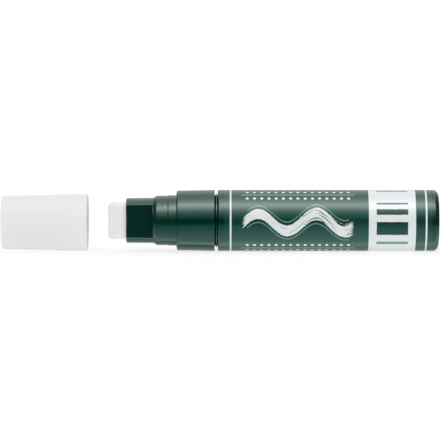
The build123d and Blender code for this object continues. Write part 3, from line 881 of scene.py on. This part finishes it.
def lay_table():
    # White acrylic, a table lit softly from below that keeps a faint contact shadow. In the gloss of the
    # plastic its glow is painted: a painted shadow under the marker, a painted bright band just beside it,
    # and darker further away, as a small table in a dim room is.
    bpy.ops.object.select_all(action="DESELECT")
    bpy.ops.mesh.primitive_plane_add(size=TABLE_SIZE)
    table = bpy.context.object
    table.name = "light_table"
    acrylic, tree, shader, place = new_finish("white_acrylic")
    spot = add(tree, "ShaderNodeSeparateXYZ", {0: place}).outputs
    forward = add(tree, "ShaderNodeMath", {0: spot["X"], 1: -1.0}, operation="MULTIPLY").outputs[0]
    slimmer = level_profile(tree, forward, SHADOW_SHARES)
    across = add(tree, "ShaderNodeMath", {0: spot["Y"]}, operation="ABSOLUTE").outputs[0]
    aside = add(tree, "ShaderNodeMath", {0: across, 1: slimmer}, operation="MULTIPLY").outputs[0]
    at_collar = add(
        tree, "ShaderNodeMapRange", {0: forward, "From Min": 0.0, "From Max": COLLAR_FADE},
    ).outputs[0]
    # Painted shadow: in the gloss the table's glow is dim under the marker and bright just beside it
    by_barrel = level_profile(tree, aside, BARREL_LEVELS)
    by_collar = level_profile(tree, aside, COLLAR_LEVELS)
    painted_shadow_glow = add(tree, "ShaderNodeMix", {0: at_collar, 2: by_barrel, 3: by_collar}).outputs[0]
    outward = add(tree, "ShaderNodeMath", {0: spot["X"]}, operation="ABSOLUTE").outputs[0]
    table_end = add(
        tree, "ShaderNodeMapRange",
        {0: outward, "From Min": TABLE_DIMS, "From Max": TABLE_DARK, "To Min": 1.0, "To Max": 0.0},
    ).outputs[0]
    greened = add(
        tree, "ShaderNodeMapRange",
        {0: aside, "From Min": GREENED_START, "From Max": GREENED_WHOLE, "To Min": LEAST_GREENED},
    ).outputs[0]
    in_gloss = room_gloss(tree, painted_shadow_glow, greened, table_end)
    ray = add(tree, "ShaderNodeLightPath", {}).outputs
    bounce = add(
        tree, "ShaderNodeMix", {0: ray["Is Diffuse Ray"], 2: TABLE_GLOW, 3: TABLE_BOUNCE},
    ).outputs[0]
    glow = add(
        tree, "ShaderNodeMix", {0: ray["Is Glossy Ray"], 6: bounce, 7: in_gloss}, data_type="RGBA",
    ).outputs[2]
    level = add(tree, "ShaderNodeMix", {0: ray["Is Glossy Ray"], 2: TABLE_WHITE, 3: 0.0}).outputs[0]
    add(
        tree, shader,
        {
            "Base Color": level, "Roughness": 0.9, "Specular IOR Level": 0.0,
            "Emission Color": glow, "Emission Strength": 1.0,
        },
    )
    table.data.materials.append(acrylic)


def hang_tent():
    # A white tent over the table. In the gloss of the plastic it is dark round the horizon, with a long
    # soft box high in front and a fainter ceiling behind it.
    world = bpy.data.worlds.new("white_tent")
    world.use_nodes = True
    bpy.context.scene.world = world
    tree = world.node_tree
    direction = add(tree, "ShaderNodeTexCoord", {}).outputs["Generated"]
    lean = add(tree, "ShaderNodeSeparateXYZ", {0: direction}).outputs
    front = add(tree, "ShaderNodeMath", {0: lean["Y"], 1: -1.0}, operation="MULTIPLY").outputs[0]
    climb = add(tree, "ShaderNodeMath", {0: lean["Z"], 1: front}, operation="ARCTAN2").outputs[0]
    degrees = add(tree, "ShaderNodeMath", {0: climb}, operation="DEGREES").outputs[0]
    profile = level_profile(tree, degrees, TENT_LEVELS)
    to_side = add(tree, "ShaderNodeMath", {0: lean["X"]}, operation="ABSOLUTE").outputs[0]
    box_end = add(
        tree, "ShaderNodeMapRange",
        {0: to_side, "From Min": BOX_DIMS, "From Max": BOX_DARK, "To Min": 1.0, "To Max": BOX_LEAST},
    ).outputs[0]
    greened = add(
        tree, "ShaderNodeMapRange",
        {
            0: degrees, "From Min": GREENED_UP_TO, "From Max": LEAST_GREENED_FROM,
            "To Min": 1.0, "To Max": LEAST_GREENED,
        },
    ).outputs[0]
    in_gloss = room_gloss(tree, profile, greened, box_end)
    ray = add(tree, "ShaderNodeLightPath", {}).outputs
    slope = add(
        tree, "ShaderNodeMath", {0: lean["X"], 1: TENT_ENDS, 2: TENT_LEAN}, operation="MULTIPLY_ADD",
    ).outputs[0]
    dimmed = add(
        tree, "ShaderNodeMath", {0: lean["X"], 1: slope, 2: TENT_MIDDLE}, operation="MULTIPLY_ADD",
    ).outputs[0]
    matt = add(tree, "ShaderNodeMix", {0: ray["Is Diffuse Ray"], 2: 1.0, 3: dimmed}).outputs[0]
    tent = add(
        tree, "ShaderNodeMix", {0: ray["Is Glossy Ray"], 6: matt, 7: in_gloss}, data_type="RGBA",
    ).outputs[2]
    add(tree, tree.nodes["Background"], {"Color": tent, "Strength": 1.0})


green = moulded_green_polypropylene()
white = moulded_white_polypropylene()
felt = pressed_felt()
film = printed_film()
natural = natural_polypropylene()
rubber = black_rubber()
wire_steel = stainless_steel("drawn_stainless_wire", WIRE_DRAWN, smooth=0.24, rough=0.39)
ball_steel = stainless_steel("tumbled_stainless_steel", NOT_DRAWN, smooth=0.12, rough=0.195)

wrap_label()
press_nib()
wind_coil()
turn_cap()

# The CAD's own pieces, with their finishes
for node, finish in {
    "inner_cap": natural, "nib_carrier": natural, "holder": green, "barrel": green,
    "valve_case": natural, "valve_plunger": natural, "valve_seal": rubber, "spring_retainer": natural,
    "mixing_ball_1": ball_steel, "mixing_ball_2": ball_steel,
}.items():
    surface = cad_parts[node].data
    surface.materials.clear()
    surface.materials.append(finish)

set_camera()
lay_table()
hang_tent()
bpy.context.scene.view_settings.view_transform = "Standard"
